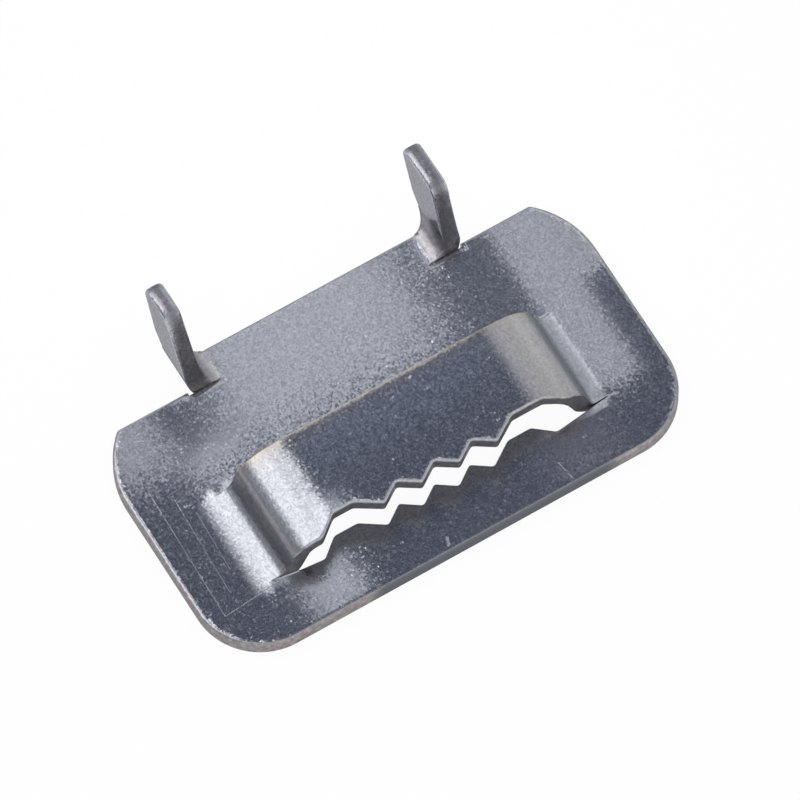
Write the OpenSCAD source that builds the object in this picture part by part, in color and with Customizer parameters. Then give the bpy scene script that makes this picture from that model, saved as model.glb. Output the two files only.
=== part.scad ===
// Strapping buckle with ears, stamped and folded from one stainless steel sheet.
// The band goes over the front strip, under the toothed bridge and out between the ears.
// X runs along the plate, +Y points to the ears, and Z 0 is the underside.

/* [Sheet] */
// Thickness of the steel sheet
sheet = 1.3; // [1:0.1:1.6]

/* [Plate] */
// Length of the plate from side to side
plate_length = 38; // [37:0.5:42]
// Depth of the plate from its front edge to the shoulders outside the ears
plate_depth = 19.8; // [19:0.1:21]
// Radius of the two front corners
front_corner = 5; // [3:0.2:7]
// Radius of the two rear corners, which the shoulders cut short
rear_corner = 7; // [6:0.5:9]
// Distance from the side of the plate to the sharp end of a shoulder
shoulder_inset = 2.3; // [1.5:0.1:3]
// How far the middle rear edge stands behind the shoulders
tongue = 2.2; // [1.6:0.1:3]

/* [Bridge] */
// Depth of the front strip, from the front edge to the middle of the tooth line
front_strip = 4.5; // [4:0.1:5]
// Depth of the bridge, from the middle of the tooth line to the straight rear cut
bridge_depth = 7.4; // [6.5:0.1:8]
// Rise of the bridge above the plate, the height of the way that the band goes through
bridge_rise = 3.9; // [3.4:0.1:4.4]
// Length of the flat top of the bridge, at least the width of the band
bridge_flat = 19.1; // [18:0.1:20]
// Length along the plate that each sloped leg takes
leg_run = 4.3; // [4:0.1:4.6]
// Steepest slope of a leg, in degrees
leg_slope = 72; // [66:1:76]
// Inner radius of the bend at the top of a leg
top_bend = 1.1; // [0.8:0.1:1.4]

/* [Teeth] */
// Spacing of the small teeth along the cut
tooth_pitch = 2.85; // [2.6:0.05:3]
// Depth of the small teeth from tip to root
tooth_depth = 1; // [0.6:0.1:1.4]
// Depth of the wide notches beside the small teeth, from the middle of the tooth line
notch_depth = 0.7; // [0.4:0.1:1]
// Where each wide notch starts, measured from the middle of the buckle
notch_start = 6.05; // [5.6:0.05:6.5]
// Length of each wide notch
notch_length = 1.9; // [1.4:0.1:2.4]
// Where each outer lobe has its tip, measured from the middle of the buckle
lobe_place = 9.4; // [9:0.1:10]
// How much longer the tooth line became on the bridge when it was drawn up
draw_stretch = 1.06; // [1:0.01:1.1]
// How far both lobes moved to the right on the bridge when it was drawn up
lobe_drift = 0.45; // [0:0.05:0.6]
// How far the right lobe was pulled back on the bridge when it was drawn up
lobe_pull = 0.45; // [0:0.05:0.6]

/* [Ears] */
// Clear distance between the ears, the width of the band and its play
ear_gap = 19.5; // [19.1:0.1:20]
// Inner radius of the bend under each ear
ear_bend = 1.2; // [0.8:0.1:1.6]
// How far the ears' front edges lie in front of the shoulders' rear edges
ear_set = 0.3; // [0.1:0.1:0.6]
// Width of an ear at the level of the plate, front to rear
ear_width = 4.1; // [3.6:0.1:4.6]
// Length of an ear's rear edge from the level of the plate to its tip
ear_length = 6.9; // [6:0.1:7.4]
// Lean of the left ear's front edge towards the rear, in degrees
left_lean = 25; // [12:1:26]
// Lean of the right ear's front edge towards the rear, in degrees
right_lean = 16; // [12:1:26]
// Lean of both ears' rear edges, in degrees
rear_lean = 19; // [14:1:22]
// Fall of the ears' tips towards the rear, in degrees
tip_fall = 4; // [0:1:12]
// Radius of the front corner of an ear's tip
tip_front_round = 1.1; // [0.6:0.1:1.3]
// Radius of the rear corner of an ear's tip
tip_rear_round = 0.7; // [0.4:0.1:1]
// How far up an ear's rear edge its sloped neck reaches
neck_reach = 2; // [1.4:0.1:2.6]
// Width of the relief cut around the front of an ear
relief_width = 0.2; // [0.15:0.05:0.4]
// How far the relief cut runs inwards past the bend
relief_length = 0.2; // [0.1:0.1:1]

/* [Hidden] */

steel = [0.62, 0.63, 0.66];
half_length = plate_length / 2;
// Overlap that joins two pieces of the sheet, and a reach past every edge for cutting shapes
overlap = 0.5;
beyond = 40;
// Rounding: the chord spans this share of the arc's reach, and the circle is eased off the sides,
// so that the two cross at clear points
chord_share = 0.85;
arc_ease = 0.9995;

// Legs: a bend at the top and one at the foot, with a straight stretch between.
// The foot's bend is sized so that they meet the rise in the given run.
half_flat = bridge_flat / 2;
foot = half_flat + leg_run;
bend_sum = (leg_run * sin(leg_slope) - bridge_rise * cos(leg_slope)) / (1 - cos(leg_slope));
foot_bend = bend_sum - sheet - top_bend;
leg_normal = [sin(leg_slope), cos(leg_slope)];
top_centre = [half_flat, bridge_rise - top_bend];

// Lines across the depth, counted from the front edge
rear_cut = front_strip + bridge_depth;
rear_edge = plate_depth + tongue;
ear_front = plate_depth - ear_set;

// Rear corner: its arc leaves the side here, so that it ends at the shoulder's sharp end
rear_arc_y = plate_depth - sqrt(rear_corner ^ 2 - (rear_corner - shoulder_inset) ^ 2);

// Ears: inner face, start of the bend, and the corners of the outline above the plate
ear_face = ear_gap / 2;
bend_start = ear_face - ear_bend;
ear_foot = rear_edge - ear_front;
rear_way = [sin(rear_lean), cos(rear_lean)];
tip_way = [-cos(tip_fall), sin(tip_fall)];
neck = [ear_width, 0] + neck_reach * rear_way;
tip_rear = [ear_width, 0] + ear_length * rear_way;
tip_arc = arc_centre(tip_rear, neck, tip_rear + tip_way, tip_rear_round);

overall_depth = ear_front + tip_arc[0] + tip_rear_round;

// Where the tip's line meets a front edge that leans by the given angle
function tip_front(lean) =
    (tip_rear[0] * sin(tip_fall) + tip_rear[1] * cos(tip_fall)) / cos(lean - tip_fall)
    * [sin(lean), cos(lean)];

// Point at a level on the line of the right leg's underside, or of its top when lifted
function leg_point(level, lift) =
    [(leg_normal * top_centre + top_bend + lift - leg_normal[1] * level) / leg_normal[0], level];

// Unit direction from one point to another
function way(from, to) = (to - from) / norm(to - from);

// Centre of the arc that rounds a corner between its two neighbours
function arc_centre(at, before, after, radius) =
    at + radius * (way(at, before) + way(at, after)) / abs(cross(way(at, before), way(at, after)));

// Distance from a corner to the points where its arc begins
function arc_reach(at, before, after, radius) =
    radius * (1 + way(at, before) * way(at, after)) / abs(cross(way(at, before), way(at, after)));

// Right half of the tooth line: small teeth, a wide notch and a lobe.
// X is stretched by k, and the lobe is moved outwards and pulled back.
function half_teeth(k, drift, pull) = [
    [k * tooth_pitch / 2, front_strip - tooth_depth / 2],
    [k * tooth_pitch, front_strip + tooth_depth / 2],
    [k * 1.5 * tooth_pitch, front_strip - tooth_depth / 2],
    [k * notch_start, front_strip + notch_depth],
    [k * (notch_start + notch_length) + drift, front_strip + notch_depth],
    [k * lobe_place + drift, front_strip - tooth_depth / 2 + pull]
];

// Point on the other half
function mirrored(point) = [-point[0], point[1]];

// Points in the opposite order
function reversed(points) = [for (i = [len(points) - 1:-1:0]) points[i]];

// The whole line from left to right, ending level at the given half length
function tooth_line(k, half, drift, pull) = concat(
    [[-half, front_strip]],
    [for (point = reversed(half_teeth(k, -drift, 0))) mirrored(point)],
    [[0, front_strip + tooth_depth / 2]],
    half_teeth(k, drift, pull),
    [[half, front_strip]]
);

// Polygon, listed anticlockwise, with true arcs at the corners that have a radius.
// Each such corner becomes a chord, then a circle fills it out or hollows it.
module rounded_polygon(points, radii) {
    last = len(points) - 1;
    before = [for (i = [0:last]) points[i == 0 ? last : i - 1]];
    after = [for (i = [0:last]) points[i == last ? 0 : i + 1]];
    turn = [for (i = [0:last]) cross(points[i] - before[i], after[i] - points[i])];
    reach = [for (i = [0:last]) chord_share * arc_reach(points[i], before[i], after[i], radii[i])];
    chords = [
        for (i = [0:last])
            each radii[i] == 0 ? [points[i]] : [
                points[i] + reach[i] * way(points[i], before[i]),
                points[i] + reach[i] * way(points[i], after[i])
            ]
    ];
    difference() {
        union() {
            polygon(chords);
            for (i = [0:last]) {
                if (radii[i] > 0 && turn[i] > 0) arc(points[i], before[i], after[i], radii[i]);
            }
        }
        for (i = [0:last]) {
            if (radii[i] > 0 && turn[i] < 0) arc(points[i], before[i], after[i], radii[i]);
        }
    }
}

// Circle that touches both sides of a corner
module arc(at, before, after, radius) {
    translate(arc_centre(at, before, after, radius)) circle(r = arc_ease * radius);
}

// Area between the tooth line and the straight rear cut
module cut_area(half, k = 1, drift = 0, pull = 0) {
    polygon(concat(tooth_line(k, half, drift, pull), [[half, rear_cut], [-half, rear_cut]]));
}

// Part of a bent sheet about a centre, from one angle to a larger one
module bend(radius, from_angle, to_angle) {
    middle = (from_angle + to_angle) / 2;
    intersection() {
        difference() {
            circle(r = radius + sheet);
            circle(r = radius);
        }
        polygon([
            [0, 0],
            beyond * [cos(from_angle), sin(from_angle)],
            2 * beyond * [cos(middle), sin(middle)],
            beyond * [cos(to_angle), sin(to_angle)]
        ]);
    }
}

// Outline of the plate from above, with rounded front corners and cut-short rear ones
module plate_outline() {
    rear_x = half_length - rear_corner;
    front_x = half_length - front_corner;
    shoulder_x = half_length - shoulder_inset;
    intersection() {
        union() {
            translate([-front_x, 0]) square([2 * front_x, plate_depth]);
            translate([-half_length, front_corner])
                square([plate_length, rear_arc_y - front_corner]);
            translate([-shoulder_x, rear_arc_y - overlap])
                square([2 * shoulder_x, plate_depth - rear_arc_y + overlap]);
            for (side = [-1, 1]) {
                translate([side * front_x, front_corner]) circle(r = front_corner);
                translate([side * rear_x, rear_arc_y]) circle(r = rear_corner);
            }
        }
        translate([-half_length, 0]) square([plate_length, plate_depth]);
    }
}

// Cut that frees the right ear from the shoulder, with a short slit past the bend
module ear_relief() {
    notch_end = ear_face + sheet + relief_width;
    translate([bend_start, ear_front - relief_width])
        square([notch_end - bend_start, ear_set + relief_width + overlap]);
    translate([bend_start - relief_length, ear_front - relief_width])
        square([relief_length + overlap, relief_width]);
}

// Flat sheet: the plate with its tongue, less the opening that the bridge was raised from
module flat_sheet() {
    linear_extrude(sheet) {
        difference() {
            union() {
                plate_outline();
                translate([-bend_start, plate_depth - overlap])
                    square([2 * bend_start, tongue + overlap]);
            }
            cut_area(foot);
            for (side = [0, 1]) {
                mirror([side, 0]) ear_relief();
            }
        }
    }
}

// Area under the bridge's underside or, lifted by the sheet, under its top.
// The margin is added below and at both ends.
module under_bridge(lift, margin) {
    end = foot + margin;
    foot_corner = leg_point(lift, lift);
    top_corner = leg_point(bridge_rise + lift, lift);
    foot_round = foot_bend + sheet - lift;
    top_round = top_bend + lift;
    rounded_polygon(
        [
            [-end, -margin], [end, -margin], [end, lift], foot_corner, top_corner,
            mirrored(top_corner), mirrored(foot_corner), [-end, lift]
        ],
        [0, 0, 0, foot_round, top_round, top_round, foot_round, 0]
    );
}

// Side view of the bridge: flat top, two sloped legs and the feet that run into the plate
module bridge_profile() {
    difference() {
        under_bridge(sheet, overlap);
        under_bridge(0, 2 * overlap);
    }
}

// Bridge: its side view through the depth, trimmed to the toothed front and straight rear
module bridge() {
    intersection() {
        translate([0, rear_cut, 0])
            rotate([90, 0, 0])
                linear_extrude(rear_cut)
                    bridge_profile();
        linear_extrude(beyond)
            cut_area(foot + overlap, draw_stretch, lobe_drift, lobe_pull);
    }
}

// An ear seen from the side: a leaning tab with a rounded tip and a sloped neck at its rear
module ear_outline(lean) {
    translate([0, sheet]) {
        rounded_polygon(
            [[0, -sheet], [ear_foot, -sheet], [ear_foot, 0], neck, tip_rear, tip_front(lean), [0, 0]],
            [0, 0, 0, 0, tip_rear_round, tip_front_round, 0]
        );
    }
}

// The right ear seen from the front: the sheet bends up from the tongue and stands
module ear_profile() {
    translate([bend_start - overlap, 0]) square([overlap, sheet]);
    translate([bend_start, sheet + ear_bend]) bend(ear_bend, 270, 360);
    translate([ear_face, sheet + ear_bend]) square([sheet, 2 * ear_length]);
}

module ear(lean) {
    intersection() {
        translate([0, rear_edge + ear_length, 0])
            rotate([90, 0, 0])
                linear_extrude(ear_length + ear_foot)
                    ear_profile();
        translate([0, ear_front, 0])
            rotate([90, 0, 90])
                linear_extrude(half_length)
                    ear_outline(lean);
    }
}

// One stamped piece, centred on its whole depth
module buckle() {
    color(steel) {
        translate([0, -overall_depth / 2, 0]) {
            flat_sheet();
            bridge();
            ear(right_lean);
            mirror([1, 0, 0]) ear(left_lean);
        }
    }
}

buckle();
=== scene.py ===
"""Strapping buckle in tumbled stainless steel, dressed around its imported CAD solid.

One stamped sheet: a plate with a raised, toothed bridge and two upright ears.
The piece is made from the solid: its cut edges are rolled over, the press's set is
given to it, and tumbling marks it. The shaping is done in millimetres and then
brought to metres.
"""

import math

import bmesh
import bpy
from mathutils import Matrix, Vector
from mathutils.bvhtree import BVHTree


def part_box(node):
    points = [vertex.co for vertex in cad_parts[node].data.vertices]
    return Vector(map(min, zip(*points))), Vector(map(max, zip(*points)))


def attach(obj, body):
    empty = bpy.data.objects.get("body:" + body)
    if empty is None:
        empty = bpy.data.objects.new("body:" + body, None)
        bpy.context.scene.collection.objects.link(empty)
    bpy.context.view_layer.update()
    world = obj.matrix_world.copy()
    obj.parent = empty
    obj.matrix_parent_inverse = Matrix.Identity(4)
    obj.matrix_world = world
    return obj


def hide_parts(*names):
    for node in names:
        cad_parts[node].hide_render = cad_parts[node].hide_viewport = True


bl_info = {
    "name": "Strapping buckle",
    "version": (1, 0, 0),
    "blender": (4, 5, 0),
    "location": "3D View > Sidebar > Buckle",
    "description": "Builds the looks of a stamped stainless steel strapping buckle",
    "category": "Object",
}

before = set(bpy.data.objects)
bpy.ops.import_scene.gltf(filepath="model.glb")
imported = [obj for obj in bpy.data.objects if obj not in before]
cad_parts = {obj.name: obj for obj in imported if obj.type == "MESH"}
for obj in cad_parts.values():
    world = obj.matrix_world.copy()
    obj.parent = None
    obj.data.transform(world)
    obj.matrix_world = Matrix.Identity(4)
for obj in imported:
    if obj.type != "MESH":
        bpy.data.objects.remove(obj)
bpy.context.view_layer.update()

MM = 0.001
PER_METRE = 1000

# Lines of the stamped sheet in millimetres, as in the solid
SHEET = 1.3
HALF_LENGTH = PER_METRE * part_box("buckle")[1].x
FRONT_EDGE = PER_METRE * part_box("buckle")[0].y
REAR_TIP = PER_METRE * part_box("buckle")[1].y
EAR_TOP = PER_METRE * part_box("buckle")[1].z
FRONT_STRIP = 4.5
BRIDGE_DEPTH = 7.4
PLATE_DEPTH = 19.8
TOOTH_LINE = FRONT_EDGE + FRONT_STRIP
REAR_CUT = TOOTH_LINE + BRIDGE_DEPTH
SHOULDER = FRONT_EDGE + PLATE_DEPTH
EAR_FACE = 9.75
EAR_BEND = 1.2
EAR_SET = 0.3
EAR_FRONT = SHOULDER - EAR_SET
RELIEF = 0.2
RELIEF_END = EAR_FACE + SHEET + RELIEF
SLIT_START = EAR_FACE - EAR_BEND - RELIEF
BRIDGE_RISE = 3.9
HALF_FLAT = 9.55
TOP_BEND = 1.1
FOOT_LINE = 13.85
FOOT_BEND = 1.774

# Where the parts of the sheet lie, with a margin past their lines
EARS_FROM = SHOULDER - 2 * EAR_SET
EAR_STRAIGHT = EAR_BEND + SHEET + 0.05
EAR_BEND_SPAN = (8.3, 11.4)
EAR_CLEAR = 8
BRIDGE_SPAN = (TOOTH_LINE - 0.6, REAR_CUT + 0.1)
TEETH_END = 10.6
TEETH_DEPTH = 1
OUTLINE_FROM = 14.2
PLATE_END = 15
FRONT_WALL = 0.5

# Bends of the sheet in the XZ plane: middle, the two radii of its faces, and the side of the
# middle, along X and Z, on which the bend lies
BRIDGE_BENDS = (
    (HALF_FLAT, BRIDGE_RISE - TOP_BEND, (TOP_BEND, TOP_BEND + SHEET), (1, 1)),
    (FOOT_LINE, SHEET + FOOT_BEND, (FOOT_BEND, FOOT_BEND + SHEET), (-1, -1)),
)
EAR_BENDS = ((EAR_FACE - EAR_BEND, SHEET + EAR_BEND, (EAR_BEND, EAR_BEND + SHEET), (1, -1)),)

# Shares of the full edge roll that the cut edges have
OUTLINE_ROLL = 1.0
EAR_ROLL = 0.85
TOOTH_ROLL = 0.75
SLIGHT_ROLL = 0.4

# Width of the ears' relief cuts once the fold has closed them
SLIT_LEFT = 0.03

# Rounds of smoothing that soften the corners of the ears' outline, as tumbling does
EAR_SOFTENING = 20

# Distance between the cuts that let the sheet take dents and bows
SLICE = 0.3

# How the press left the sheet out of true. The plate rises a little before the left leg: from the
# start of this stretch its slope grows up to the leg's foot
LIFT_START = 14.8
LIFT_SLOPE = 0.15
LIFT_FADE = 1.0
# The front corner of the right leg's foot is flattened down to the plate over this stretch
FLAT_START = 12.1
FLAT_FULL = 12.7
FLAT_DEPTH = 1.6
# The bridge's top falls away towards its ends: its slope grows from the start to the middle of
# this stretch and fades out again to its end, within the leg's own bend
DROOP_START = 7.5
DROOP_MIDDLE = 9.5
DROOP_END = 11.5
DROOP_SLOPE = 0.16

# The front wall carries a painted dark reflection along its middle, standing in for the tent's dark
# opening: where that begins and where it ends
FRONT_REFLECTION_LEFT = (-8.6, -6.8)
FRONT_REFLECTION_RIGHT = (10.8, 12.4)

# Least slope, as a share of a face's normal, at which a raised face looks downward
DOWNWARD = 0.4

# Fine scratches and a ding in the plate's top: both ends and the width
SCRATCHES = (
    ((-17.5, -9.0), (-13.1, -8.63), 0.07),
    ((-17.5, -9.0), (-17.25, 1.9), 0.06),
    ((-16.3, -7.6), (-16.0, 0.4), 0.04),
    ((-15.4, -6.2), (-15.2, -1.2), 0.04),
    ((8.2, -10.9), (8.45, -12.5), 0.07),
    ((-1.3, -11.7), (-1.6, -12.4), 0.22),
)
SCRATCH_LEAN = 0.09

# Colours and levels of the light tent's parts, where a level of 1 shows white
WHITE = "#ffffff"
OPENING = ("#bdcfff", 0.145)
TENT = ("#f8f9ff", 0.79)
LEFT_SIDE = ("#fffdff", 2.0)
FAR_LEFT = ("#f0f3ff", 0.39)
FRONT_PANEL = ("#fefdff", 1.06)
# Middle and half widths of the tent's opening, as parts of a direction along X and Y
OPENING_AT = (0.17, 0.3)
OPENING_HALF = (0.16, 0.4)

# Cards over the plate: the zone of the plate that mirrors each, from left to right and from front
# to rear, the height above the plate, all in millimetres, then the level and the colour
CARDS = (
    ("rear card", (-10.4, 7.0, 0.2, 26), 25, 0.68, WHITE),
    ("rear card by the left ear", (-14.4, -10.4, 0.2, 2.8), 14, 0.68, WHITE),
    ("left rear card", (-19, -14.4, 2.4, 17), 14, 0.52, WHITE),
    ("right card", (13.1, 17.0, -8, 11), 7, 0.52, WHITE),
    ("right rear card", (16.9, 20.5, 0.3, 11), 7, 0.5, WHITE),
    ("right fill card", (7.5, 19, -7.5, 11), 25, 0.05, WHITE),
    ("strip card", (-12.2, -7.9, -13.5, -8.1), 12, 0.66, WHITE),
    ("right strip card", (8, 12.5, -13.5, -9.4), 25, 0.168, "#ffe6f5"),
    ("bridge card", (-9.5, 8.5, -5.8, 0.6), 25, 0.104, "#c8d3ff"),
)

# Floor and camera: the floor's side in metres and then, in millimetres, how far it lies under the
# plate, clear of the edge rolls at the feet that dip 0.03 below it, the point in the picture's
# middle, and the width of the camera's sensor
FLOOR_SIDE = 3
FLOOR_DROP = 0.05
VIEW_CENTRE = (1.26, -1.154, SHEET)
SENSOR_WIDTH = 36


def linear(hex_colour):
    """sRGB hex colour as linear RGBA."""
    values = [int(hex_colour[i : i + 2], 16) / 255 for i in (1, 3, 5)]
    return [*(v / 12.92 if v <= 0.04045 else ((v + 0.055) / 1.055) ** 2.4 for v in values), 1.0]


def glow(hex_colour, level):
    """Linear RGBA of a lit surface of this colour and level."""
    return [*(level * v for v in linear(hex_colour)[:3]), 1.0]


def per_mm(size):
    """Texture scale on metre coordinates for a pattern with features of this size in millimetres."""
    return 1 / (size * MM)


def add(tree, kind, inputs=None, **settings):
    """Adds a node, sets its settings, and sets or links its inputs."""
    made = tree.nodes.new(kind)
    for name, value in settings.items():
        setattr(made, name, value)
    for key, value in (inputs or {}).items():
        if isinstance(value, bpy.types.NodeSocket):
            tree.links.new(value, made.inputs[key])
        else:
            made.inputs[key].default_value = value
    return made


class BuckleFinish(bpy.types.PropertyGroup):
    """Sizes and colours of the buckle's finish"""

    edge_roll: bpy.props.FloatProperty(
        name="Edge roll",
        description="Width of the rolled-over edge that the blanking die leaves round the top",
        default=0.26 * MM,
        unit="LENGTH",
    )
    bow: bpy.props.FloatProperty(
        name="Bow",
        description="Strength of the sheet's slow bow",
        default=0.02 * MM,
        unit="LENGTH",
        precision=6,
    )
    dent_spacing: bpy.props.FloatProperty(
        name="Dent spacing",
        description="Least distance between tumbling dents",
        default=0.9 * MM,
        unit="LENGTH",
    )
    dent_radius: bpy.props.FloatProperty(
        name="Dent radius",
        description="Radius of a tumbling dent",
        default=0.45 * MM,
        unit="LENGTH",
    )
    dent_depth: bpy.props.FloatProperty(
        name="Dent depth",
        description="Depth of a tumbling dent",
        default=0.003 * MM,
        unit="LENGTH",
        precision=6,
    )
    steel: bpy.props.StringProperty(
        name="Steel", description="sRGB hex colour of the clean steel", default="#bcbec3"
    )
    steel_dull: bpy.props.StringProperty(
        name="Dull steel", description="sRGB hex colour where the steel is dulled", default="#9ea1a8"
    )
    heat_tint: bpy.props.StringProperty(
        name="Heat tint", description="sRGB hex colour of the bridge's tinted rim", default="#b4a893"
    )
    sheared: bpy.props.StringProperty(
        name="Sheared wall",
        description="sRGB hex colour of the torn part of the walls",
        default="#8a8589",
    )
    burnished: bpy.props.StringProperty(
        name="Burnished wall",
        description="sRGB hex colour of the smooth part of the walls",
        default="#aaa5a1",
    )
    # Painted shade: the colour that walls take where shade and a dark reflection are painted on them
    painted_shade_wall: bpy.props.StringProperty(
        name="Painted shade wall",
        description="sRGB hex colour of the darkest walls, on the ears, under the bridge and in front",
        default="#6c6d74",
    )
    grazing: bpy.props.StringProperty(
        name="Grazing tint",
        description="sRGB hex colour that the steel mirrors with at a grazing angle",
        default="#bfbfc2",
    )
    roughness: bpy.props.FloatProperty(
        name="Roughness",
        description="Roughness of the tumbled faces",
        default=0.172,
        min=0.05,
        max=1,
        subtype="FACTOR",
    )
    bend_roughness: bpy.props.FloatProperty(
        name="Bend roughness",
        description="Roughness of the drawn bends",
        default=0.45,
        min=0.05,
        max=1,
        subtype="FACTOR",
    )
    wall_roughness: bpy.props.FloatProperty(
        name="Wall roughness",
        description="Roughness of the sheared walls",
        default=0.36,
        min=0.05,
        max=1,
        subtype="FACTOR",
    )
    facet_tilt: bpy.props.FloatProperty(
        name="Facet tilt",
        description="Spread of the slopes of the fine facets",
        default=0.035,
        min=0,
        max=1,
        subtype="FACTOR",
    )
    facet_flash: bpy.props.FloatProperty(
        name="Facet flash",
        description="How far the steepest of the fine facets stand out",
        default=0.24,
        min=0,
        max=2,
        subtype="FACTOR",
    )


class BuckleStage(bpy.types.PropertyGroup):
    """Floor and camera of the studio"""

    floor: bpy.props.StringProperty(
        name="Floor", description="sRGB hex colour of the floor", default="#f4f4f4"
    )
    azimuth: bpy.props.FloatProperty(
        name="Azimuth",
        description="Turn of the camera from the front towards the left",
        default=math.radians(31.06),
        subtype="ANGLE",
    )
    elevation: bpy.props.FloatProperty(
        name="Elevation",
        description="Height of the camera above the horizon",
        default=math.radians(65.38),
        subtype="ANGLE",
    )
    distance: bpy.props.FloatProperty(
        name="Distance",
        description="Distance from the camera to the buckle",
        default=1.0,
        unit="LENGTH",
    )
    view_width: bpy.props.FloatProperty(
        name="View width",
        description="Width of the picture at the buckle",
        default=55.47 * MM,
        unit="LENGTH",
    )


def ramp(value, low, high):
    """Straight rise from 0 at the low value to 1 at the high one."""
    return min(max((value - low) / (high - low), 0), 1)


def smooth(value, low, high):
    """Smooth rise from 0 at the low value to 1 at the high one."""
    share = ramp(value, low, high)
    return share * share * (3 - 2 * share)


def on_ears(place):
    """Whether a place lies behind the shoulders, where the tongue and the ears are."""
    return place.y > EARS_FROM


def in_ear_bend(place):
    """Whether a place lies across the bend on which an ear stands."""
    return on_ears(place) and EAR_BEND_SPAN[0] < abs(place.x) < EAR_BEND_SPAN[1]


def on_bridge(place):
    """Whether a place lies between the bridge's two cuts, its teeth included."""
    return BRIDGE_SPAN[0] < place.y < BRIDGE_SPAN[1]


def wall_share(normal, centre):
    """How far a face of the solid takes the dull, dark colour of a sheared wall, from 0 to 1; on the
    ears' bends, under the bridge and on the left leg's steep face this is painted shade.
    """
    half_dull_shaded = 0.6
    across_ear = 0.3
    frontward = 0.5
    leftward = 0.8
    least_cut = 0.05
    rolled_edge, raised_edge = 0.92, 0.4
    if on_ears(centre) and centre.z > EAR_STRAIGHT:
        return abs(normal.x) < across_ear
    # Painted shade: the ears' bends take the walls' darker colour, for the shade at the ears' feet
    if in_ear_bend(centre) and centre.z > SHEET:
        return max(half_dull_shaded, abs(normal.y) > frontward)
    # Painted shade: the bridge's underside takes the darkest wall colour
    if on_bridge(centre) and centre.z > SHEET and normal.z < -DOWNWARD:
        return 1.0
    # Painted shade: the left leg's steep face is half darkened, for the dark it mirrors
    if on_bridge(centre) and centre.z > SHEET and normal.x < -leftward:
        return half_dull_shaded
    # A bend's faces look along X and Z alone, and those of a cut also along Y
    cut = abs(normal.y) > least_cut or abs(centre.x) > PLATE_END
    return cut and abs(normal.z) < (rolled_edge if centre.z < SHEET else raised_edge)


def wall_shade(normal, centre):
    """How far a sheared face is darker than the other walls, from 0 to 1: painted shade on the ears and
    under the bridge, a painted dark reflection along the front's middle, and a little darker above the
    plate.
    """
    shaded = 0.75
    raised = 0.4
    bend_low, bend_high = 1.1 * SHEET, 1.6 * SHEET
    # Painted shade on the ears' walls, growing over their bends
    if on_ears(centre):
        return shaded * smooth(centre.z, bend_low, bend_high)
    # Painted shade under the bridge
    if normal.z < -DOWNWARD and centre.z > SHEET:
        return shaded
    # Painted dark reflection along the middle of the front wall
    if centre.y < FRONT_EDGE + FRONT_WALL:
        return smooth(centre.x, *FRONT_REFLECTION_LEFT) - smooth(centre.x, *FRONT_REFLECTION_RIGHT)
    return raised if centre.z > SHEET else 0.0


def roll_of(edge):
    """Share of the full edge roll that an edge of the solid gets."""
    near = 0.1
    a, b = (v.co for v in edge.verts)
    middle = (a + b) / 2
    on_outline = middle.z < SHEET + near and (
        abs(middle.x) > OUTLINE_FROM
        or middle.y < FRONT_EDGE + near
        or middle.y > SHOULDER - near
    )
    if in_ear_bend(middle) and middle.z < EAR_STRAIGHT:
        return 0.0
    if on_outline:
        return OUTLINE_ROLL if middle.z > SHEET / 2 else SLIGHT_ROLL
    if on_ears(middle):
        return EAR_ROLL
    if abs(middle.x) < TEETH_END and middle.y < TOOTH_LINE + TEETH_DEPTH:
        return TOOTH_ROLL
    return SLIGHT_ROLL


def rolled_solid(solid, roll):
    """Copy of the CAD solid, in millimetres, with its cut edges rolled over."""
    doubled = 0.001
    least_edge = 0.09
    flat = math.radians(0.6)
    crease = math.radians(24)
    form = bmesh.new()
    form.from_mesh(solid.data)
    bmesh.ops.scale(form, vec=(PER_METRE,) * 3, verts=form.verts)
    bmesh.ops.remove_doubles(form, verts=form.verts, dist=doubled)
    bmesh.ops.remove_doubles(form, verts=form.verts, dist=least_edge)
    bmesh.ops.dissolve_limit(
        form, angle_limit=flat, verts=form.verts, edges=form.edges, use_dissolve_boundaries=False
    )
    surface = BVHTree.FromBMesh(form)
    weight = form.edges.layers.float.new("bevel_weight_edge")
    for edge in form.edges:
        if len(edge.link_faces) == 2 and edge.calc_face_angle() > crease:
            edge[weight] = roll_of(edge)
    mesh = bpy.data.meshes.new("rolled")
    form.to_mesh(mesh)
    form.free()
    piece = bpy.data.objects.new("rolled", mesh)
    bpy.context.scene.collection.objects.link(piece)
    bevel = piece.modifiers.new("roll", "BEVEL")
    bevel.limit_method = "WEIGHT"
    bevel.width = roll
    bevel.segments = 4
    bevel.profile = 0.5
    bevel.use_clamp_overlap = False
    bevel.miter_outer = "MITER_ARC"
    graph = bpy.context.evaluated_depsgraph_get()
    rolled = bpy.data.meshes.new_from_object(piece.evaluated_get(graph))
    bpy.data.objects.remove(piece)
    # Where two rolls meet in a tight place, they stay on the solid
    for vert in rolled.vertices:
        nearest, _, _, away = surface.find_nearest(vert.co)
        if away > roll / 2:
            vert.co = nearest
    return rolled


def true_bend(place):
    """The place itself or, on a bend, the nearest one on its true arc."""
    off_arc = 0.03
    least = 0.01
    bends = ()
    if on_ears(place):
        bends = EAR_BENDS
    elif on_bridge(place):
        bends = BRIDGE_BENDS
    for x, z, radii, side in bends:
        out = abs(place.x) - x
        up = place.z - z
        if out * side[0] < 0 or up * side[1] < 0:
            continue
        for radius in radii:
            stretch = radius / max(math.hypot(out, up), least)
            if abs(stretch - 1) * radius < off_arc:
                return Vector(
                    (math.copysign(x + out * stretch, place.x), place.y, z + up * stretch)
                )
    return place


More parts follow.
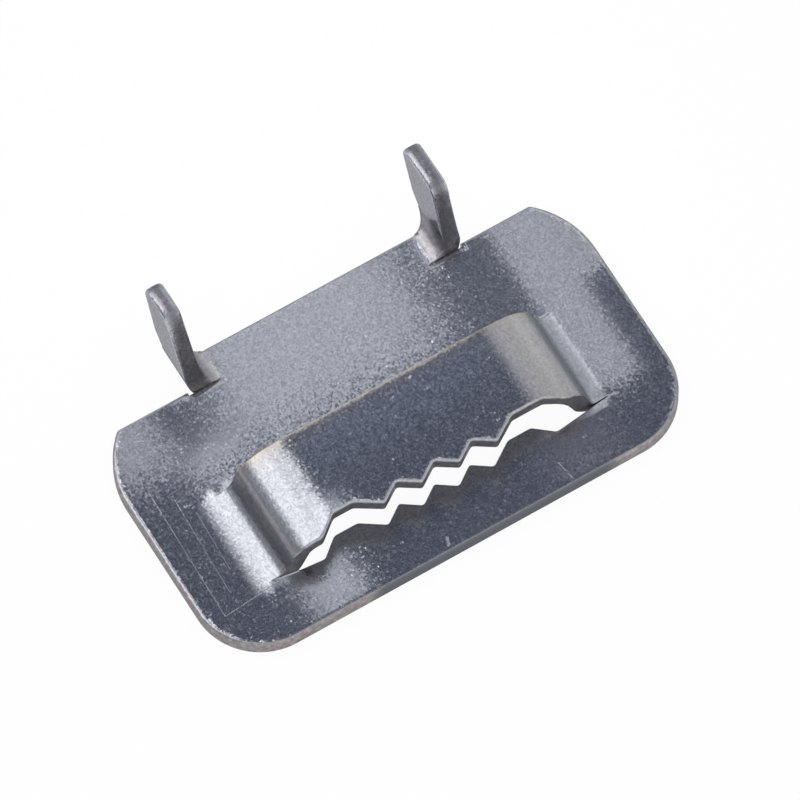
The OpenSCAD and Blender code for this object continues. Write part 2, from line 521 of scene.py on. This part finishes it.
def closed_slit(place):
    """The place itself or, on the plate's side of an ear's relief cut, one close to the ear."""
    near = 0.02
    above = 0.05
    if place.z > SHEET + above or abs(place.y - EAR_FRONT) > 2 * RELIEF + EAR_SET:
        return place
    out = abs(place.x)
    closing = RELIEF - SLIT_LEFT
    cut_line = EAR_FRONT - RELIEF
    closed = Vector(place)
    if abs(place.y - cut_line) < near and SLIT_START - near < out < RELIEF_END + near:
        closed.y += closing
    if abs(out - RELIEF_END) < near and place.y > cut_line - near:
        closed.x = math.copysign(out - closing, place.x)
    return closed


def flattening(place):
    """Drop of the right leg's front corner towards the plate, in millimetres."""
    hair = 0.01
    rolled_back = 0.1
    behind_cut = place.y > TOOTH_LINE + hair
    above_strip = place.y > TOOTH_LINE - rolled_back and place.z > SHEET + hair / 2
    on_leg = behind_cut or above_strip
    if not on_leg or not FLAT_START < place.x < FOOT_LINE or place.y > TOOTH_LINE + FLAT_DEPTH:
        return 0.0
    run = FOOT_LINE - place.x
    drawn_up = FOOT_BEND - math.sqrt(FOOT_BEND**2 - min(run, FOOT_BEND) ** 2)
    share = smooth(place.x, FLAT_START, FLAT_FULL)
    drop = drawn_up * share * (1 - smooth(place.y, TOOTH_LINE, TOOTH_LINE + FLAT_DEPTH))
    return min(drop, max(place.z, 0))


def press_set(place):
    """Rise of the sheet at a place, in millimetres, where the press left it out of true."""
    if on_ears(place) and abs(place.x) > EAR_CLEAR:
        return 0.0
    beyond = max(TOOTH_LINE - place.y, place.y - REAR_CUT, 0)
    beside = (1 - smooth(beyond, 0, LIFT_FADE)) * (1 - smooth(place.x, -FOOT_LINE, -DROOP_END))
    before = ramp(LIFT_START + place.x, 0, LIFT_START - FOOT_LINE)
    rise = LIFT_SLOPE * beside * (LIFT_START - FOOT_LINE) * before**2 / 2
    rise += LIFT_SLOPE * beside * min(max(place.x + FOOT_LINE, 0), FOOT_LINE - DROOP_END)
    up_the_leg = ramp(place.z - SHEET, 0, BRIDGE_RISE)
    grow = ramp(abs(place.x), DROOP_START, DROOP_MIDDLE)
    fade = ramp(abs(place.x), DROOP_MIDDLE, DROOP_END)
    drop = (DROOP_MIDDLE - DROOP_START) * grow**2 / 2
    drop += (DROOP_END - DROOP_MIDDLE) * (fade - fade**2 / 2)
    return rise * (1 - up_the_leg) - DROOP_SLOPE * drop * up_the_leg - flattening(place)


def warmth(place):
    """How strongly the heat of the press has tinted the sheet at a place, from 0 to 1."""
    rim_tint, rim_width = 0.55, 0.7
    end_tint, end_middle, end_width = 0.3, 10, 1.8
    past_cut = 0.2
    if place.z < BRIDGE_RISE or place.y > REAR_CUT + past_cut:
        return 0.0
    rim = rim_tint * math.exp(-(((place.y - REAR_CUT) / rim_width) ** 2))
    right_end = end_tint * math.exp(-(((place.x - end_middle) / end_width) ** 2))
    return max(rim, right_end)


def worked(place):
    """How far the sheet was drawn and dulled in a bend at a place, from 0 to 1."""
    left_share = 0.35
    before_foot = 0.4
    fade = 0.3
    if on_ears(place):
        return 1.0 if in_ear_bend(place) and SHEET < place.z < EAR_STRAIGHT else 0.0
    if not on_bridge(place):
        return 0.0
    off = abs(place.x)
    end = FOOT_LINE - before_foot if place.x > 0 else LIFT_START
    share = smooth(off, DROOP_START, DROOP_MIDDLE) - smooth(off, end - fade, end + fade)
    return share if place.x > 0 else left_share * share


def cut_across(form):
    """Cuts the form along all three directions, so that its flats can take dents and bows."""
    least_gap = 0.08
    start = 0.37
    spans = {0: (-HALF_LENGTH, HALF_LENGTH), 1: (FRONT_EDGE, REAR_TIP), 2: (2 * SHEET, EAR_TOP)}
    for axis, (low, high) in spans.items():
        normal = [0, 0, 0]
        normal[axis] = 1
        for i in range(1, int((high - low) / SLICE)):
            at = [0, 0, 0]
            at[axis] = low + (i + start) * SLICE
            bmesh.ops.bisect_plane(
                form,
                geom=form.verts[:] + form.edges[:] + form.faces[:],
                dist=least_gap,
                plane_co=at,
                plane_no=normal,
            )
    bmesh.ops.triangulate(form, faces=[f for f in form.faces if len(f.verts) > 4])


def soften_ears(form):
    """Softens the corners of the ears' outline, each ear within its own plane."""
    above_bend = 0.2
    ears = [v for v in form.verts if on_ears(v.co) and v.co.z > EAR_STRAIGHT + above_bend]
    for _ in range(EAR_SOFTENING):
        bmesh.ops.smooth_vert(form, verts=ears, factor=0.5, use_axis_y=True, use_axis_z=True)


def mark_surface(form):
    """Notes on every vertex how far it is sheared, tinted, drawn and painted in shade, for the material.
    """
    wall = form.verts.layers.float.new("wall")
    warm = form.verts.layers.float.new("warm")
    drawn = form.verts.layers.float.new("worked")
    shade = form.verts.layers.float.new("shade")
    for vert in form.verts:
        faces = [(f.normal, f.calc_center_median()) for f in vert.link_faces]
        vert[wall] = sum(wall_share(*face) for face in faces) / len(faces)
        vert[shade] = sum(wall_shade(*face) for face in faces) / len(faces)
        vert[warm] = warmth(vert.co)
        vert[drawn] = worked(vert.co)


def pressed_sheet(mesh):
    """The rolled solid cut fine, marked for its material, set by the press and brought to metres."""
    form = bmesh.new()
    form.from_mesh(mesh)
    cut_across(form)
    soften_ears(form)
    mark_surface(form)
    for face in form.faces:
        face.smooth = True
    for vert in form.verts:
        vert.co = closed_slit(true_bend(vert.co))
        vert.co.z += press_set(vert.co)
    bmesh.ops.scale(form, vec=(MM,) * 3, verts=form.verts)
    form.to_mesh(mesh)
    form.free()
    return mesh


def tumbling_tree(material):
    """Geometry Nodes that bow the sheet a little and strike shallow dents into it."""
    bow_length = 9
    most_dents = 2e6
    seed = 7
    tree = bpy.data.node_groups.new("Tumbling marks", "GeometryNodeTree")
    sockets = tree.interface
    sockets.new_socket("Geometry", in_out="INPUT", socket_type="NodeSocketGeometry")
    for name in ("Dent spacing", "Dent radius", "Dent depth", "Bow"):
        sockets.new_socket(name, in_out="INPUT", socket_type="NodeSocketFloat")
    sockets.new_socket("Geometry", in_out="OUTPUT", socket_type="NodeSocketGeometry")
    given = add(tree, "NodeGroupInput").outputs
    place = add(tree, "GeometryNodeInputPosition").outputs[0]
    normal = add(tree, "GeometryNodeInputNormal").outputs[0]

    # Slow bow of the whole sheet, up and down
    slow = add(
        tree,
        "ShaderNodeTexNoise",
        {"Vector": place, "Scale": per_mm(bow_length), "Detail": 0.0},
        noise_dimensions="3D",
    ).outputs[0]
    swing = add(tree, "ShaderNodeMath", {0: slow, 1: 0.5}, operation="SUBTRACT").outputs[0]
    lift = add(tree, "ShaderNodeMath", {0: swing, 1: given["Bow"]}, operation="MULTIPLY").outputs[0]
    up = add(tree, "ShaderNodeCombineXYZ", {"Z": lift}).outputs[0]

    # Dents about scattered points, each a smooth hollow
    points = add(
        tree,
        "GeometryNodeDistributePointsOnFaces",
        {
            "Mesh": given["Geometry"],
            "Distance Min": given["Dent spacing"],
            "Density Max": most_dents,
            "Seed": seed,
        },
        distribute_method="POISSON",
    ).outputs[0]
    nearest = add(tree, "GeometryNodeSampleNearest", {"Geometry": points}, domain="POINT").outputs[0]
    centre = add(
        tree,
        "GeometryNodeSampleIndex",
        {"Geometry": points, "Value": place, "Index": nearest},
        data_type="FLOAT_VECTOR",
        domain="POINT",
    ).outputs[0]
    away = add(
        tree, "ShaderNodeVectorMath", {0: place, 1: centre}, operation="DISTANCE"
    ).outputs["Value"]
    hollow = add(
        tree,
        "ShaderNodeMapRange",
        {
            "Value": away,
            "From Min": 0.0,
            "From Max": given["Dent radius"],
            "To Min": 1.0,
            "To Max": 0.0,
        },
        interpolation_type="SMOOTHSTEP",
    ).outputs[0]
    sink = add(
        tree, "ShaderNodeMath", {0: hollow, 1: given["Dent depth"]}, operation="MULTIPLY"
    ).outputs[0]
    inward = add(tree, "ShaderNodeMath", {0: sink, 1: -1.0}, operation="MULTIPLY").outputs[0]
    dent = add(
        tree, "ShaderNodeVectorMath", {0: normal, "Scale": inward}, operation="SCALE"
    ).outputs[0]
    shift = add(tree, "ShaderNodeVectorMath", {0: up, 1: dent}, operation="ADD").outputs[0]
    moved = add(
        tree, "GeometryNodeSetPosition", {"Geometry": given["Geometry"], "Offset": shift}
    ).outputs[0]
    whole = add(tree, "GeometryNodeRealizeInstances", {"Geometry": moved}).outputs[0]
    dressed = add(
        tree, "GeometryNodeSetMaterial", {"Geometry": whole, "Material": material}
    ).outputs[0]
    add(tree, "NodeGroupOutput", {"Geometry": dressed})
    return tree


def tumbled_steel(finish):
    """Stainless steel sheet, tumbled after stamping.

    The tumbling media leave a satin grey with fine facets that flash one by one.
    Sheared walls are duller and darker, since the metal there is torn and not rolled. Painted shade
    darkens the ears, their bends, the bridge's underside and the left leg's steep face, and a painted
    dark reflection the front's middle.
    """
    # Sizes of the patterns and depths of the bumps in millimetres. The real facets are finer, and
    # are drawn as coarse as they need to show
    facet_size = 0.13
    wave_length, wave_depth = 2.2, 0.004
    nick_spacing, nick_depth = 0.6, 0.01
    tear_size, tear_depth = 0.35, 0.05
    # Reach of a nick and share of the nicks that stay shallow, in the pattern's own units
    nick_reach, nick_shallow = 0.28, 0.6
    tear_low, tear_high = 0.35, 0.65
    bend_calm = 0.35

    material = bpy.data.materials.new("tumbled_stainless_steel")
    material.use_nodes = True
    tree = material.node_tree
    tree.nodes.clear()
    place = add(tree, "ShaderNodeTexCoord").outputs["Object"]
    wall, warm, drawn, shade = (
        add(tree, "ShaderNodeAttribute", attribute_name=name).outputs["Fac"]
        for name in ("wall", "warm", "worked", "shade")
    )

    # Facets left by the media, each tilted its own way
    cells = add(
        tree,
        "ShaderNodeTexVoronoi",
        {"Vector": place, "Scale": per_mm(facet_size), "Randomness": 1.0},
        feature="F1",
    ).outputs["Color"]
    tilt = add(
        tree, "ShaderNodeVectorMath", {0: cells, 1: (0.5, 0.5, 0.5)}, operation="SUBTRACT"
    ).outputs[0]
    square = add(tree, "ShaderNodeVectorMath", {0: tilt, 1: tilt}, operation="MULTIPLY").outputs[0]
    flash = add(tree, "ShaderNodeVectorMath", {0: square, 1: tilt}, operation="MULTIPLY").outputs[0]
    leaning = add(
        tree, "ShaderNodeVectorMath", {0: tilt, "Scale": finish.facet_tilt}, operation="SCALE"
    ).outputs[0]
    faceted = add(
        tree,
        "ShaderNodeVectorMath",
        {0: flash, 1: (finish.facet_flash,) * 3, 2: leaning},
        operation="MULTIPLY_ADD",
    ).outputs[0]
    # The bends are drawn smooth, so their facets lie flatter
    flatter = add(
        tree, "ShaderNodeMapRange", {"Value": drawn, "To Min": 1.0, "To Max": bend_calm}
    ).outputs[0]
    calmed = add(
        tree, "ShaderNodeVectorMath", {0: faceted, "Scale": flatter}, operation="SCALE"
    ).outputs[0]
    straight = add(tree, "ShaderNodeNewGeometry").outputs["Normal"]
    turned = add(tree, "ShaderNodeVectorMath", {0: calmed, 1: straight}, operation="ADD").outputs[0]

    # Scratches: strips of the plate's top that lean towards the right
    for start, end, width in SCRATCHES:
        line = Vector(end) - Vector(start)
        along = line.normalized()
        middle = (Vector(start) + Vector(end)) / 2 * MM
        reach = add(
            tree,
            "ShaderNodeVectorMath",
            {0: place, 1: (middle.x, middle.y, SHEET * MM)},
            operation="SUBTRACT",
        ).outputs[0]
        lean = SCRATCH_LEAN
        for way, half in (
            ((along.x, along.y, 0), line.length / 2),
            ((-along.y, along.x, 0), width / 2),
            ((0, 0, 1), SHEET / 4),
        ):
            off = add(
                tree, "ShaderNodeVectorMath", {0: reach, 1: way}, operation="DOT_PRODUCT"
            ).outputs["Value"]
            inside = add(
                tree, "ShaderNodeMath", {0: off, 1: 0.0, 2: half * MM}, operation="COMPARE"
            ).outputs[0]
            lean = add(tree, "ShaderNodeMath", {0: lean, 1: inside}, operation="MULTIPLY").outputs[0]
        aside = add(tree, "ShaderNodeCombineXYZ", {"X": lean}).outputs[0]
        turned = add(
            tree, "ShaderNodeVectorMath", {0: turned, 1: aside}, operation="ADD"
        ).outputs[0]
    facing = add(tree, "ShaderNodeVectorMath", {0: turned}, operation="NORMALIZE").outputs[0]

    # Broader unevenness of the rolled sheet
    waves = add(
        tree, "ShaderNodeTexNoise", {"Vector": place, "Scale": per_mm(wave_length), "Detail": 2.0}
    ).outputs[0]
    # Pits and nicks, of which a few are deep
    nicks = add(
        tree,
        "ShaderNodeTexVoronoi",
        {"Vector": place, "Scale": per_mm(nick_spacing), "Randomness": 1.0},
        feature="F1",
    ).outputs
    nick = add(
        tree,
        "ShaderNodeMapRange",
        {"Value": nicks["Distance"], "From Max": nick_reach, "To Min": 1.0, "To Max": 0.0},
        interpolation_type="SMOOTHSTEP",
    ).outputs[0]
    chance = add(tree, "ShaderNodeSeparateColor", {0: nicks["Color"]}).outputs[0]
    depth = add(tree, "ShaderNodeMapRange", {"Value": chance, "From Min": nick_shallow}).outputs[0]
    pit = add(tree, "ShaderNodeMath", {0: nick, 1: depth}, operation="MULTIPLY").outputs[0]

    # Steel of the faces, facet by facet, with the bridge's tint
    grain = add(tree, "ShaderNodeSeparateColor", {0: cells}).outputs[1]
    tone = add(
        tree,
        "ShaderNodeMix",
        {"Factor": grain, 6: linear(finish.steel_dull), 7: linear(finish.steel)},
        data_type="RGBA",
    ).outputs[2]
    tinted = add(
        tree,
        "ShaderNodeMix",
        {"Factor": warm, 6: tone, 7: linear(finish.heat_tint)},
        data_type="RGBA",
    ).outputs[2]
    # Sheared walls: torn in patches, with painted shade on the ears, their bends, the bridge's underside
    # and the left leg's steep face, and a painted dark reflection along the front's middle
    tear = add(
        tree, "ShaderNodeTexNoise", {"Vector": place, "Scale": per_mm(tear_size), "Detail": 3.0}
    ).outputs[0]
    torn = add(
        tree, "ShaderNodeMapRange", {"Value": tear, "From Min": tear_low, "From Max": tear_high}
    ).outputs[0]
    shear = add(
        tree,
        "ShaderNodeMix",
        {"Factor": torn, 6: linear(finish.sheared), 7: linear(finish.burnished)},
        data_type="RGBA",
    ).outputs[2]
    # Painted shade and painted dark reflection, mixed in by the shade attribute
    walling = add(
        tree,
        "ShaderNodeMix",
        {"Factor": shade, 6: shear, 7: linear(finish.painted_shade_wall)},
        data_type="RGBA",
    ).outputs[2]
    colour = add(
        tree, "ShaderNodeMix", {"Factor": wall, 6: tinted, 7: walling}, data_type="RGBA"
    ).outputs[2]
    satin = add(
        tree,
        "ShaderNodeMapRange",
        {"Value": drawn, "To Min": finish.roughness, "To Max": finish.bend_roughness},
    ).outputs[0]
    rougher = add(
        tree,
        "ShaderNodeMapRange",
        {"Value": wall, "To Min": satin, "To Max": finish.wall_roughness},
    ).outputs[0]
    broad = add(
        tree,
        "ShaderNodeBump",
        {"Height": waves, "Strength": 1.0, "Distance": wave_depth * MM, "Normal": facing},
    ).outputs[0]
    pitted = add(
        tree,
        "ShaderNodeBump",
        {"Height": pit, "Strength": 1.0, "Distance": nick_depth * MM, "Normal": broad},
        invert=True,
    ).outputs[0]
    ragged = add(tree, "ShaderNodeMath", {0: tear, 1: wall}, operation="MULTIPLY").outputs[0]
    bumps = add(
        tree,
        "ShaderNodeBump",
        {"Height": ragged, "Strength": 1.0, "Distance": tear_depth * MM, "Normal": pitted},
    ).outputs[0]
    shader = add(
        tree,
        "ShaderNodeBsdfPrincipled",
        {
            "Base Color": colour,
            "Metallic": 1.0,
            "Roughness": rougher,
            "Specular Tint": linear(finish.grazing),
            "Normal": bumps,
        },
    ).outputs[0]
    add(tree, "ShaderNodeOutputMaterial", {"Surface": shader})
    return material


class BUCKLE_OT_sheet(bpy.types.Operator):
    """Makes the stamped sheet with its bridge and ears"""

    bl_idname = "buckle.sheet"
    bl_label = "Stamped sheet"

    def execute(self, context):
        finish = context.scene.buckle_finish
        material = tumbled_steel(finish)
        mesh = pressed_sheet(rolled_solid(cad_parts["buckle"], finish.edge_roll / MM))
        mesh.name = "stamped_sheet"
        mesh.materials.clear()
        mesh.materials.append(material)
        raw = bpy.data.objects.new("raw_sheet", mesh)
        context.scene.collection.objects.link(raw)
        tree = tumbling_tree(material)
        modifier = raw.modifiers.new("Tumbling marks", "NODES")
        modifier.node_group = tree
        values = {
            "Dent spacing": finish.dent_spacing,
            "Dent radius": finish.dent_radius,
            "Dent depth": finish.dent_depth,
            "Bow": finish.bow,
        }
        for item in tree.interface.items_tree:
            if item.item_type == "SOCKET" and item.name in values:
                modifier[item.identifier] = values[item.name]
        graph = context.evaluated_depsgraph_get()
        marked = bpy.data.meshes.new_from_object(raw.evaluated_get(graph))
        bpy.data.objects.remove(raw)
        if len(marked.polygons) == 0:
            raise RuntimeError("the stamped sheet came out empty")
        piece = bpy.data.objects.new("stamped_sheet", marked)
        context.scene.collection.objects.link(piece)
        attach(piece, "root")
        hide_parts("buckle")
        return {"FINISHED"}


def floor_material(colour):
    """Matt white paper sweep: it shows white to the eye and in the steel, and takes a faint shadow."""
    white_share = 0.95
    material = bpy.data.materials.new("paper_sweep")
    material.use_nodes = True
    tree = material.node_tree
    tree.nodes.clear()
    path = add(tree, "ShaderNodeLightPath").outputs
    seen = add(
        tree,
        "ShaderNodeMath",
        {0: path["Is Camera Ray"], 1: path["Is Glossy Ray"]},
        operation="MAXIMUM",
    ).outputs[0]
    shown = add(
        tree, "ShaderNodeMath", {0: seen, 1: path["Is Transmission Ray"]}, operation="MAXIMUM"
    ).outputs[0]
    share = add(tree, "ShaderNodeMath", {0: shown, 1: white_share}, operation="MULTIPLY").outputs[0]
    paper = add(tree, "ShaderNodeBsdfDiffuse", {"Color": linear(colour)}).outputs[0]
    white = add(
        tree, "ShaderNodeEmission", {"Color": linear(WHITE), "Strength": 1.0}
    ).outputs[0]
    mixed = add(tree, "ShaderNodeMixShader", {0: share, 1: paper, 2: white}).outputs[0]
    add(tree, "ShaderNodeOutputMaterial", {"Surface": mixed})
    return material


def card_over(name, zone, height, level, colour, mirror):
    """Lamp card that looks down on the plate from where the given zone of the plate mirrors it."""
    x0, x1, y0, y1 = zone
    middle = Vector(((x0 + x1) / 2, (y0 + y1) / 2, SHEET))
    card = bpy.data.lights.new(name, "AREA")
    card.shape = "RECTANGLE"
    card.size = (x1 - x0) * MM
    card.size_y = (y1 - y0) * MM
    card.energy = level * math.pi * card.size * card.size_y
    card.color = linear(colour)[:3]
    holder = bpy.data.objects.new(name, card)
    holder.location = (middle + mirror * height / mirror.z) * MM
    holder.visible_camera = False
    bpy.context.scene.collection.objects.link(holder)


def studio_world():
    """Light tent around the buckle: pale cloth, a bright left side, a front panel and a dark opening."""
    world = bpy.data.worlds.new("studio")
    world.use_nodes = True
    tree = world.node_tree
    tree.nodes.clear()
    way = add(tree, "ShaderNodeTexCoord").outputs["Generated"]
    side, depth, _ = add(tree, "ShaderNodeSeparateXYZ", {0: way}).outputs
    off = add(
        tree, "ShaderNodeVectorMath", {0: way, 1: (*OPENING_AT, 0)}, operation="SUBTRACT"
    ).outputs[0]
    spread = add(
        tree,
        "ShaderNodeVectorMath",
        {0: off, 1: (1 / OPENING_HALF[0], 1 / OPENING_HALF[1], 0)},
        operation="MULTIPLY",
    ).outputs[0]
    reach = add(tree, "ShaderNodeVectorMath", {0: spread}, operation="LENGTH").outputs["Value"]

    # Soft borders of the tent's parts: what each runs along, where it starts and where it is full
    closed, leftward, behind, before, far_left, forward = (
        add(
            tree,
            "ShaderNodeMapRange",
            {"Value": along, "From Min": start, "From Max": full},
            interpolation_type="SMOOTHSTEP",
        ).outputs[0]
        for along, start, full in (
            (reach, 0.85, 1.15),
            (side, 0.10, 0.04),
            (depth, 0.08, 0.2),
            (depth, 0.7, 0.55),
            (side, -0.7, -0.84),
            (depth, -0.35, -0.65),
        )
    )
    between = add(tree, "ShaderNodeMath", {0: behind, 1: before}, operation="MULTIPLY").outputs[0]
    left = add(tree, "ShaderNodeMath", {0: leftward, 1: between}, operation="MULTIPLY").outputs[0]
    light = glow(*OPENING)
    for share, part in (
        (closed, TENT),
        (left, LEFT_SIDE),
        (far_left, FAR_LEFT),
        (forward, FRONT_PANEL),
    ):
        light = add(
            tree, "ShaderNodeMix", {"Factor": share, 6: light, 7: glow(*part)}, data_type="RGBA"
        ).outputs[2]
    shown = add(tree, "ShaderNodeBackground", {"Color": light, "Strength": 1.0}).outputs[0]
    add(tree, "ShaderNodeOutputWorld", {"Surface": shown})
    return world


class BUCKLE_OT_stage(bpy.types.Operator):
    """Sets the floor, the lamps and the camera"""

    bl_idname = "buckle.stage"
    bl_label = "Studio stage"

    def execute(self, context):
        stage = context.scene.buckle_stage
        bpy.ops.mesh.primitive_grid_add(x_subdivisions=4, y_subdivisions=4, size=FLOOR_SIDE)
        floor = context.object
        floor.name = "floor"
        floor.location.z = -FLOOR_DROP * MM
        floor.data.materials.append(floor_material(stage.floor))

        turn, height = -stage.azimuth, stage.elevation
        back = Vector(
            (
                math.sin(turn) * math.cos(height),
                -math.cos(turn) * math.cos(height),
                math.sin(height),
            )
        )
        context.scene.world = studio_world()
        # The plate's flats mirror the camera in this direction
        mirror = Vector((-back.x, -back.y, back.z))
        for card in CARDS:
            card_over(*card, mirror)

        lens = bpy.data.cameras.new("camera")
        lens.sensor_width = SENSOR_WIDTH
        lens.lens = SENSOR_WIDTH * stage.distance / stage.view_width
        lens.clip_start, lens.clip_end = 0.01, 10
        camera = bpy.data.objects.new("camera", lens)
        camera.location = Vector(VIEW_CENTRE) * MM + back * stage.distance
        camera.rotation_mode = "QUATERNION"
        camera.rotation_quaternion = (-back).to_track_quat("-Z", "Y")
        context.scene.collection.objects.link(camera)
        context.scene.camera = camera
        context.scene.view_settings.view_transform = "Standard"
        return {"FINISHED"}


class BUCKLE_PT_panel(bpy.types.Panel):
    """Lists the buckle's sizes, colours and steps"""

    bl_label = "Strapping buckle"
    bl_idname = "BUCKLE_PT_panel"
    bl_space_type = "VIEW_3D"
    bl_region_type = "UI"
    bl_category = "Buckle"

    def draw(self, context):
        for group in (context.scene.buckle_finish, context.scene.buckle_stage):
            for name in type(group).__annotations__:
                self.layout.prop(group, name)
        self.layout.operator(BUCKLE_OT_sheet.bl_idname)
        self.layout.operator(BUCKLE_OT_stage.bl_idname)


CLASSES = (BuckleFinish, BuckleStage, BUCKLE_OT_sheet, BUCKLE_OT_stage, BUCKLE_PT_panel)


def register():
    """Registers the classes and hangs the settings on the scene."""
    for kind in CLASSES:
        bpy.utils.register_class(kind)
    bpy.types.Scene.buckle_finish = bpy.props.PointerProperty(type=BuckleFinish)
    bpy.types.Scene.buckle_stage = bpy.props.PointerProperty(type=BuckleStage)


def unregister():
    """Takes the settings off the scene and unregisters the classes."""
    del bpy.types.Scene.buckle_stage
    del bpy.types.Scene.buckle_finish
    for kind in reversed(CLASSES):
        bpy.utils.unregister_class(kind)


def main():
    """Builds the piece and the stage."""
    register()
    bpy.ops.buckle.sheet()
    bpy.ops.buckle.stage()


if __name__ == "__main__":
    main()
